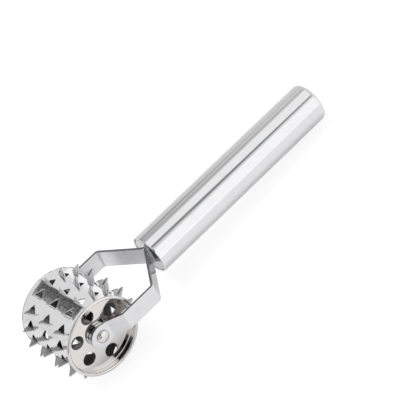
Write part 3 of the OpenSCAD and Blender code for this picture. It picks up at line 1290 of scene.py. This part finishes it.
@dataclass
class AxleSet(Group):
    """The domed rivet with its spacer tube and thrust washers."""

    shank_r: float = 2.0
    head_r: float = 3.9
    head_h: float = 2.0
    head_flat: float = 2.4
    head_under: float = 0.12
    arm_in: float = 20.0
    arm_out: float = 21.5
    tube_r: float = 3.0
    washer_r: float = 7.25
    washer_t: float = 1.5
    gap: float = 0.05

    def make(self) -> None:
        """Makes every piece of the axle."""
        self.make_rivet()
        self.make_tube()
        for side in Side:
            self.make_washer(side)

    def make_rivet(self) -> None:
        """Makes the rivet, whose heads are steep at their rims and flat on top."""
        crown = oval(self.head_r, self.arm_out, self.head_h, range(6, 90, 6), self.head_flat)
        top = self.arm_out + self.head_h
        upper = [(self.head_r - self.head_under, self.arm_out), *crown, (0.0, top)]
        lower = [(r, -h) for r, h in reversed(upper[1:])]
        shank = [(self.shank_r, -self.arm_out), (self.shank_r, self.arm_out)]
        profile = [*lower, *shank, *upper, (0.0, -top)]
        rivet = self.turning.turn(
            "axle_rivet_domed", profile, Finishes.wire, Axis.REARWARD, segments=64
        )
        self.shop.finish(rivet, Body.FRAME, "rivet_steel", "axle_rivet")

    @staticmethod
    def ring(inner: float, outer: float, low: float, high: float) -> list[Point]:
        """Returns the section of a plain ring."""
        return [(inner, low), (outer, low), (outer, high), (inner, high)]

    def make_tube(self) -> None:
        """Makes the spacer tube that the roller turns on."""
        profile = self.ring(self.shank_r + self.gap, self.tube_r, -self.arm_in, self.arm_in)
        tube = self.turning.turn(
            "axle_spacer_tube", profile, Finishes.wire, Axis.REARWARD, segments=64, edge=0.12
        )
        self.shop.finish(tube, Body.FRAME, "rivet_steel", "axle_tube")

    def make_washer(self, side: Side) -> None:
        """Makes one thrust washer.

        Args:
            side: The side that it lies on.
        """
        low = self.arm_in - self.washer_t
        profile = self.ring(self.tube_r + self.gap, self.washer_r, low, self.arm_in)
        node = side.node("thrust_washer")
        washer = self.turning.turn(
            f"{node}_flat", profile, Finishes.washer, side.value, segments=96, edge=0.08
        )
        self.shop.finish(washer, Body.FRAME, "rivet_steel", node)


@dataclass
class Fork(Group):
    """The two bent strip arms and the rivets of their tangs."""

    thick: float = 1.5
    width: float = 12.0
    eye_d: float = 14.8
    neck_w: float = 13.4
    joggle_start: float = 6.0
    joggle_len: float = 9.0
    mid_hub: float = 20.75
    mid_out: float = 25.5
    corner_x: float = 37.25
    mouth_x: float = 53.95
    tang_mid: float = 0.8
    tang_len: float = 24.0
    bend_r: float = 1.6
    bore_r: float = 2.05
    tang_rivets: tuple[float, float] = (64.95, 73.95)
    tang_rivet_r: float = 1.5
    tang_play: float = 0.05
    tang_head_r: float = 3.64
    tang_head_sunk: float = 2.44
    tang_head_start: float = 42.1
    grip: float = 1.55
    column_step: float = 1.6
    clearance: float = 0.35
    edge_soft: float = 0.2
    edge_angle: float = 40.0
    cut_slope: float = 0.4
    joggle_slope: float = 0.94

    def make(self) -> None:
        """Makes both arms and the tang rivets."""
        for side in Side:
            self.make_arm(side)
        self.make_tang_rivets()

    def path(self) -> list[Vector]:
        """Works out the middle line of an arm, seen from above.

        Returns:
            Its points, with the bends rounded.
        """
        corners = [Vector(point) for point in (
            (-self.eye_d, self.mid_hub),
            (self.joggle_start, self.mid_hub),
            (self.joggle_start + self.joggle_len, self.mid_out),
            (self.corner_x, self.mid_out),
            (self.mouth_x - self.tang_mid, self.tang_mid),
            (self.mouth_x + self.tang_len, self.tang_mid),
        )]
        radius, steps = self.bend_r + self.thick / 2, 10
        line = [corners[0]]
        for before, here, after in zip(corners, corners[1:], corners[2:]):
            into, left, turn = corner(before, here, after)
            start = here - into * (radius * math.tan(abs(turn) / 2))
            middle = start + left * math.copysign(1, turn) * radius
            for k in range(steps + 1):
                spoke = (start - middle).to_3d()
                spoke.rotate(Matrix.Rotation(turn * k / steps, 3, "Z"))
                line.append(middle + spoke.to_2d())
        return line + [corners[-1]]

    def half_width(self, x: float) -> float:
        """Works out how wide an arm's strip is.

        Args:
            x: The place along the tool.

        Returns:
            Half of the width.
        """
        taper_end = self.joggle_start + self.joggle_len
        if x >= taper_end:
            return self.width / 2
        strip = self.neck_w / 2 + (self.width - self.neck_w) / 2 * max(x, 0.0) / taper_end
        eye_r = self.eye_d / 2
        eye = math.sqrt(max(0.0, eye_r**2 - x * x)) if x < self.joggle_start - 1 else 0.0
        return max(strip if x >= 0 else 0.0, eye)

    def outline(self, xs: Sequence[float]) -> list[Point]:
        """Draws an arm's outline, seen from its side.

        Args:
            xs: Places along the tool of the outline's steps.

        Returns:
            Its points, anticlockwise.
        """
        eye_r = self.eye_d / 2
        joint = math.sqrt(eye_r**2 - (self.neck_w / 2) ** 2) + self.clearance
        meet = math.degrees(math.acos(joint / eye_r))
        nose = arc((0.0, 0.0), eye_r, meet, 360 - meet, 60)
        ahead = [x for x in xs if x > joint + 0.4]
        lower = [(x, -self.half_width(x)) for x in ahead]
        upper = [(x, self.half_width(x)) for x in reversed(ahead)]
        return nose + lower + upper

    def cut_flat(self, line: Sequence[Vector]) -> tuple[list[Point], list[tuple[int, int, int]]]:
        """Cuts an arm's outline with its bores into triangles, in columns that suit its bends.

        Args:
            line: The arm's middle line seen from above.

        Returns:
            Points of the flat arm and triangles as point numbers.
        """
        first, last = -6.9, self.mouth_x + self.tang_len
        inset, least = 0.5, 0.3
        marks = sorted({round(p.x, 4) for p in line if first < p.x < last})
        xs: list[float] = []
        for low, high in zip([first, *marks], [*marks, last]):
            xs += spaced(low, high, self.column_step)[:-1] if high - low > 1e-3 else []
        xs.append(last)
        outline = self.outline(xs)
        bores = [circle(x, self.tang_rivet_r + self.tang_play, 24) for x in self.tang_rivets]
        holes = [circle(0.0, self.bore_r, 40), *bores]
        free = [(x, reach * k / 4) for x in xs if (reach := self.half_width(x) - inset) > least
                for k in range(-4, 5)]
        plate = Plate(free, [], [outline, *holes], self.clearance)
        return plate.points, plate.keep(
            lambda p: in_loop(p, outline) and not any(in_loop(p, hole) for hole in holes)
        )

    def make_arm(self, side: Side) -> None:
        """Makes one arm: its outline is cut flat, folded along the path and made thick.

        Args:
            side: The side of the tool that it stands on.
        """
        line = self.path()
        points, tris = self.cut_flat(line)
        node = side.node("fork_arm")
        verts = [(x, self.middle_y(line, x), z) for x, z in points]
        arm = self.shop.blank(f"{node}_strip", verts, tris)
        used = bmesh.new()
        used.from_mesh(arm.data)
        bmesh.ops.delete(used, geom=[v for v in used.verts if not v.link_faces], context="VERTS")
        for polygon in used.faces:
            polygon.smooth = True
        used.to_mesh(arm.data)
        used.free()
        # cut, back and fold carry painted shade: darker colours for the cut edges and the front
        # arm's inner face and joggle.
        finishes = [Finishes.strip, Finishes.cut, Finishes.back, Finishes.fold]
        for finish in finishes:
            arm.data.materials.append(finish.material())
        solid = arm.modifiers.new("strip_thickness", "SOLIDIFY")
        solid.thickness = self.thick
        solid.offset = 0.0
        solid.use_even_offset = True
        solid.use_quality_normals = True
        self.shop.bake_down(arm)
        self.shop.soften(arm, self.edge_soft, self.edge_angle, 3)
        for polygon in arm.data.polygons:
            polygon.material_index = finishes.index(self.look(side, polygon))
        if side is Side.FRONT:
            arm.data.transform(Matrix.Scale(-1, 4, (0, 1, 0)))
            arm.data.flip_normals()
        self.shop.outwards(arm)
        self.shop.finish(arm, Body.FRAME, "fork_steel", node)

    def look(self, side: Side, polygon: bpy.types.MeshPolygon) -> SteelFinish:
        """Chooses the finish of one face of an arm, drawn on the rear side.

        The strips' cut edges, and the front arm's inner face and joggle, get darker colours than the
        strip: these are painted shade.

        Args:
            side: The side that the arm stands on.
            polygon: The face.

        Returns:
            The finish.
        """
        facing, x = polygon.normal.y, polygon.center.x
        if abs(facing) < self.cut_slope and x < self.mouth_x:
            return Finishes.cut
        if side is Side.REAR:
            return Finishes.strip
        if facing < 0:
            return Finishes.back
        beside = abs(x - self.joggle_start - self.joggle_len / 2) < self.joggle_len
        return Finishes.fold if facing < self.joggle_slope and beside else Finishes.strip

    @staticmethod
    def middle_y(line: Sequence[Vector], x: float) -> float:
        """Measures how far an arm's middle is from the tool's middle plane.

        Args:
            line: The arm's middle line seen from above.
            x: The place along the tool.

        Returns:
            The distance.
        """
        for start, end in zip(line, line[1:]):
            if start.x - 1e-6 <= x <= end.x + 1e-6 and end.x > start.x:
                share = (x - start.x) / (end.x - start.x)
                return start.y + (end.y - start.y) * share
        return line[-1].y

    def make_tang_rivets(self) -> None:
        """Makes the two small rivets that join the tangs inside the handle, as one piece."""
        foot = (0.0, self.grip - self.tang_head_sunk)
        head = arc(foot, self.tang_head_r, self.tang_head_start, 90, 8)
        upper = [(self.tang_rivet_r, self.grip)] + [(r, h) for r, h in head if h > self.grip]
        lower = [(r, -h) for r, h in reversed(upper)]
        joined = bmesh.new()
        rivets = []
        for x in self.tang_rivets:
            rivet = self.turning.turn(
                "tang_rivet_pair", lower + upper, Finishes.wire, Axis.REARWARD, segments=32
            )
            rivet.data.transform(Matrix.Translation((x, 0, 0)))
            joined.from_mesh(rivet.data)
            rivets.append(rivet)
        joined.to_mesh(rivets[0].data)
        joined.free()
        bpy.data.objects.remove(rivets[1])
        self.shop.finish(rivets[0], Body.FRAME, "rivet_steel", "tang_rivets")


@dataclass
class Handle(Group):
    """The handle's tube, its slotted front plug and its domed tail cap."""

    radius: float = 12.5
    wall: float = 1.0
    mouth_x: float = 53.95
    length: float = 130.0
    lip_r: float = 0.4
    inner_lip: float = 0.25
    tail_break: float = 0.15
    plug_inset: float = 0.3
    plug_t: float = 1.0
    skirt: float = 8.0
    dome_h: float = 4.5
    slot_w: float = 3.2
    slot_h: float = 12.1
    slot_corner: float = 0.4
    gap: float = 0.05

    def make(self) -> None:
        """Makes every piece of the handle."""
        self.make_tube()
        self.make_plug()
        self.make_tail()

    def make_tube(self) -> None:
        """Makes the tube with its rolled-over mouth."""
        radius, bore, lip_in = self.radius, self.radius - self.wall, self.inner_lip
        x0, x1 = self.mouth_x, self.mouth_x + self.length
        beside, plain, step = 1.0, 3.0, 6.0
        profile = [
            *arc((bore + lip_in, x0 + lip_in), lip_in, 180, 270, 4),
            *arc((radius - self.lip_r, x0 + self.lip_r), self.lip_r, -90, 0, 6),
            (radius, x0 + beside),
            *((radius, x) for x in spaced(x0 + plain, x1 - plain, step)),
            (radius, x1 - self.tail_break),
            (radius - self.tail_break, x1),
            (bore, x1),
            (bore, x0 + beside),
        ]
        tube = self.turning.turn(
            "handle_tube_polished", profile, Finishes.tube, Axis.TAILWARD, segments=192
        )
        self.shop.finish(tube, Body.FRAME, "handle_steel", "handle_tube")

    def make_plug(self) -> None:
        """Makes the pressed plug, with the slot that the tangs pass through."""
        outer = self.radius - self.wall - self.gap
        face, inner = self.mouth_x + self.plug_inset, outer - self.plug_t
        beside, chamfer = 0.5, 0.3
        profile = [
            (0.0, face),
            (inner - beside, face),
            *arc((inner, face + self.plug_t), self.plug_t, -90, 0, 8),
            (outer, face + self.skirt),
            (inner, face + self.skirt),
            (inner, face + self.plug_t + chamfer),
            (inner - chamfer, face + self.plug_t),
            (0.0, face + self.plug_t),
        ]
        half_w, half_h = self.slot_w / 2, self.slot_h / 2
        corners = [(-half_h, -half_w), (half_h, -half_w), (half_h, half_w), (-half_h, half_w)]
        ring = rounded(corners, self.slot_corner, 0.0, 4.0)
        # The plug's darker colour is painted shade in the mouth of the tube.
        plug = self.turning.turn(
            "handle_front_plug_slotted", profile, Finishes.plug, Axis.TAILWARD, segments=96,
            edge=0.12, cutter=self.turning.prism("slot", ring, 4 * self.plug_t, face), count=1,
        )
        self.shop.finish(plug, Body.FRAME, "handle_steel", "handle_front_plug")

    def make_tail(self) -> None:
        """Makes the domed cap in the tail."""
        outer = self.radius - self.wall - self.gap
        tail, inner = self.mouth_x + self.length, outer - self.plug_t
        profile = [
            (outer, tail - self.skirt),
            (outer, tail),
            *oval(self.radius - self.lip_r / 2, tail, self.dome_h, range(0, 91, 5)),
            *oval(inner, tail, self.dome_h - self.plug_t, range(90, -1, -10)),
            (inner, tail - self.skirt),
        ]
        cap = self.turning.turn(
            "handle_tail_cap_domed", profile, Finishes.tube, Axis.TAILWARD, segments=128
        )
        self.shop.finish(cap, Body.FRAME, "handle_steel", "handle_tail_cap")


@dataclass(frozen=True)
class Patch:
    """A dim patch of the room, in degrees.

    Args:
        around: Its middle round the tool, its half width and the width of its soft edge.
        above: The same for its height above the horizon.
        depth: Share of the light that it takes away.
    """

    around: Triple
    above: Triple
    depth: float

    def shade(self, around: Term, above: Term, more: Any = 0.0) -> Term:
        """Returns the share of light that is left, with more of it taken away if given."""
        return 1.0 - around.hump(*self.around) * above.hump(*self.above) * (more + self.depth)


@dataclass
class Studio:
    """The floor, the light and the camera.

    Args:
        lie: Where the tool lies.
        eye: Place of the camera from the axle, in millimetres, in the tool's own directions.
        right: The picture's right in the tool's directions.
        down: The picture's way down in the tool's directions.
        focal_px: Focal length in pixels of the picture.
        picture: Width of the picture in pixels.
        floor_half: Half of the floor's width, in metres.
        floor_white: Diffuse colour of the floor.
        shadow_lift: Share of the floor's white that the camera sees even in the shadow.
        room: Strength of the room's plain white.
        gap: The mottled gap between the lights behind the tool.
        patches: The other dim patches, placed by tracing what the photo's parts mirror.
        lamp_at: Place of the lamp, in metres.
        lamp_size: Width of the lamp, in metres.
        lamp_power: Power of the lamp, in watts.
    """

    lie: Lie
    eye: Triple = (-234.535, -806.804, 744.929)
    right: Triple = (0.6914, -0.6218, -0.3678)
    down: Triple = (-0.6621, -0.3415, -0.6671)
    focal_px: float = 2050.3
    picture: int = 400
    floor_half: float = 3.0
    floor_white: float = 0.82
    shadow_lift: float = 0.66
    room: float = 0.94
    gap: Patch = Patch((82.0, 8.0, 18.0), (46.0, 7.0, 14.0), 0.58)
    patches: tuple[Patch, ...] = (
        Patch((-103.0, 29.0, 5.0), (46.0, 11.0, 5.0), 0.97),
        Patch((-124.0, 14.0, 8.0), (34.0, 9.0, 7.0), 0.9),
        Patch((54.0, 18.0, 8.0), (60.0, 7.0, 6.0), 0.35),
        Patch((-53.0, 4.5, 2.5), (54.0, 5.0, 4.0), 0.66),
    )
    lamp_at: Triple = (-0.25, 0.35, 1.3)
    lamp_size: float = 0.9
    lamp_power: float = 6.0

    def make(self) -> None:
        """Makes the camera, the floor, the world and the lamp."""
        self.make_camera()
        self.make_floor()
        self.make_world()
        self.make_lamp()
        bpy.context.scene.view_settings.view_transform = "Standard"

    def make_camera(self) -> None:
        """Places the camera at the photograph's viewing angle."""
        data = bpy.data.cameras.new("photo_camera")
        data.sensor_fit = "HORIZONTAL"
        data.sensor_width = 36.0
        data.lens = self.focal_px * data.sensor_width / self.picture
        data.clip_end = 50.0
        camera = add("photo_camera", data)
        turn = Matrix.Rotation(self.lie.tilt, 3, "Y")
        right = (turn @ Vector(self.right)).normalized()
        down = turn @ Vector(self.down)
        down = (down - right * down.dot(right)).normalized()
        place = self.lie.axle + turn @ Vector(self.eye) * MM
        pose = Matrix((right, -down, right.cross(-down))).transposed().to_4x4()
        camera.matrix_world = Matrix.Translation(place) @ pose
        bpy.context.scene.camera = camera

    def make_floor(self) -> None:
        """Makes the pale floor, which stays white to the camera but keeps the shadow."""
        size = self.floor_half
        mesh = bpy.data.meshes.new("studio_floor")
        mesh.from_pydata(
            [(-size, -size, 0), (size, -size, 0), (size, size, 0), (-size, size, 0)], [],
            [(0, 1, 2, 3)],
        )
        floor = add("studio_floor", mesh)
        paint = bpy.data.materials.new("white_floor")
        paint.use_nodes = True
        mesh.materials.append(paint)
        self.paint_floor(NodeMaker(paint.node_tree))

    def paint_floor(self, make: NodeMaker) -> None:
        """Paints the floor: it glows to the camera and in mirrors, where it has painted shade under
        and behind the roller and far in front of it, and a painted brighter glow in front.

        The places are in metres.

        Args:
            make: Makes the nodes of its material.
        """
        path = make.node("ShaderNodeLightPath")
        seen = Term(make, path.outputs["Is Camera Ray"])
        mirrored = Term(make, path.outputs["Is Glossy Ray"])
        along, across, _ = make.axes(make.term("ShaderNodeTexCoord", output="Object"))
        # behind and below paint shade where the tool's shadow lies on the floor as mirrors see it;
        # afar paints a dark patch in mirrors and also darkens the floor's colour there.
        behind = along.rise(-0.085, -0.1) * across.rise(-0.03, -0.015)
        below = across.hump(-0.024, 0.004, 0.008) * along.hump(-0.08, 0.02, 0.01)
        afar = across.rise(-0.09, -0.14) * along.rise(-0.07, -0.12) * mirrored
        tone = (1.0 - seen * self.shadow_lift) * (1.0 - afar * 0.75) * self.floor_white
        lift = self.floor_white * self.shadow_lift * 1.06 + 0.24
        painted_mirror_shade = behind.math("MAXIMUM", below).math("MAXIMUM", afar)
        # In mirrors the floor glows more in front of the tool: a painted brighter reflection.
        sheen = (1.0 - painted_mirror_shade) * (across.rise(-0.08, -0.16) * 0.28 + 0.2)
        diffuse = make.term("ShaderNodeBsdfDiffuse", {"Color": tone})
        glow = make.term("ShaderNodeEmission", {"Strength": seen * lift + mirrored * sheen})
        make.surface("Material", make.node("ShaderNodeAddShader", {0: diffuse, 1: glow}))

    def make_world(self) -> None:
        """Makes the white room with its brighter lights and its dim patches."""
        world = bpy.data.worlds.new("white_room")
        bpy.context.scene.world = world
        world.use_nodes = True
        make = NodeMaker(world.node_tree)
        away = make.term("ShaderNodeTexCoord", output="Generated")
        x, y, z = make.axes(away)
        around = y.math("ARCTAN2", x) * math.degrees(1)
        above = z.math("ARCSINE") * math.degrees(1)
        front = around.hump(-62.0, 25.0, 14.0) * above.rise(46.0, 34.0)
        overhead = around.hump(-5.0, 42.0, 14.0) * above.hump(70.0, 14.0, 8.0)
        lit = self.room + front * 0.52 + overhead * 0.36
        mottle = make.noise(away, 75.0, 2.0).rise(0.38, 0.62)
        shade = self.gap.shade(around, above, mottle * 0.4)
        for patch in self.patches:
            shade = shade * patch.shade(around, above)
        path = make.node("ShaderNodeLightPath")
        seen = Term(make, path.outputs["Is Camera Ray"])
        strength = lit * shade * (1.0 - seen) + seen
        make.surface("World", make.node("ShaderNodeBackground", {"Strength": strength}))

    def make_lamp(self) -> None:
        """Hangs one large soft lamp over the tool, a little behind it."""
        data = bpy.data.lights.new("soft_lamp", "AREA")
        data.shape = "DISK"
        data.size = self.lamp_size
        data.energy = self.lamp_power
        lamp = add("soft_lamp", data)
        lamp.location = self.lamp_at
        lamp.rotation_euler = (-lamp.location).to_track_quat("-Z", "Y").to_euler()
        lamp.visible_glossy = False
        lamp.visible_camera = False


def main() -> None:
    """Builds every piece in order."""
    logging.basicConfig(level=logging.INFO, format="%(name)s %(message)s", force=True)
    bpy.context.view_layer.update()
    lie = Lie.from_record()
    shop = Shop(lie)
    turning = Turning(shop)
    LOG.info("axle at %s, handle sloped by %.3f degrees", tuple(lie.axle), math.degrees(lie.tilt))
    Studio(lie).make()
    Roller(shop, turning).make()
    AxleSet(shop, turning).make()
    Fork(shop, turning).make()
    Handle(shop, turning).make()


if __name__ == "__main__":
    main()
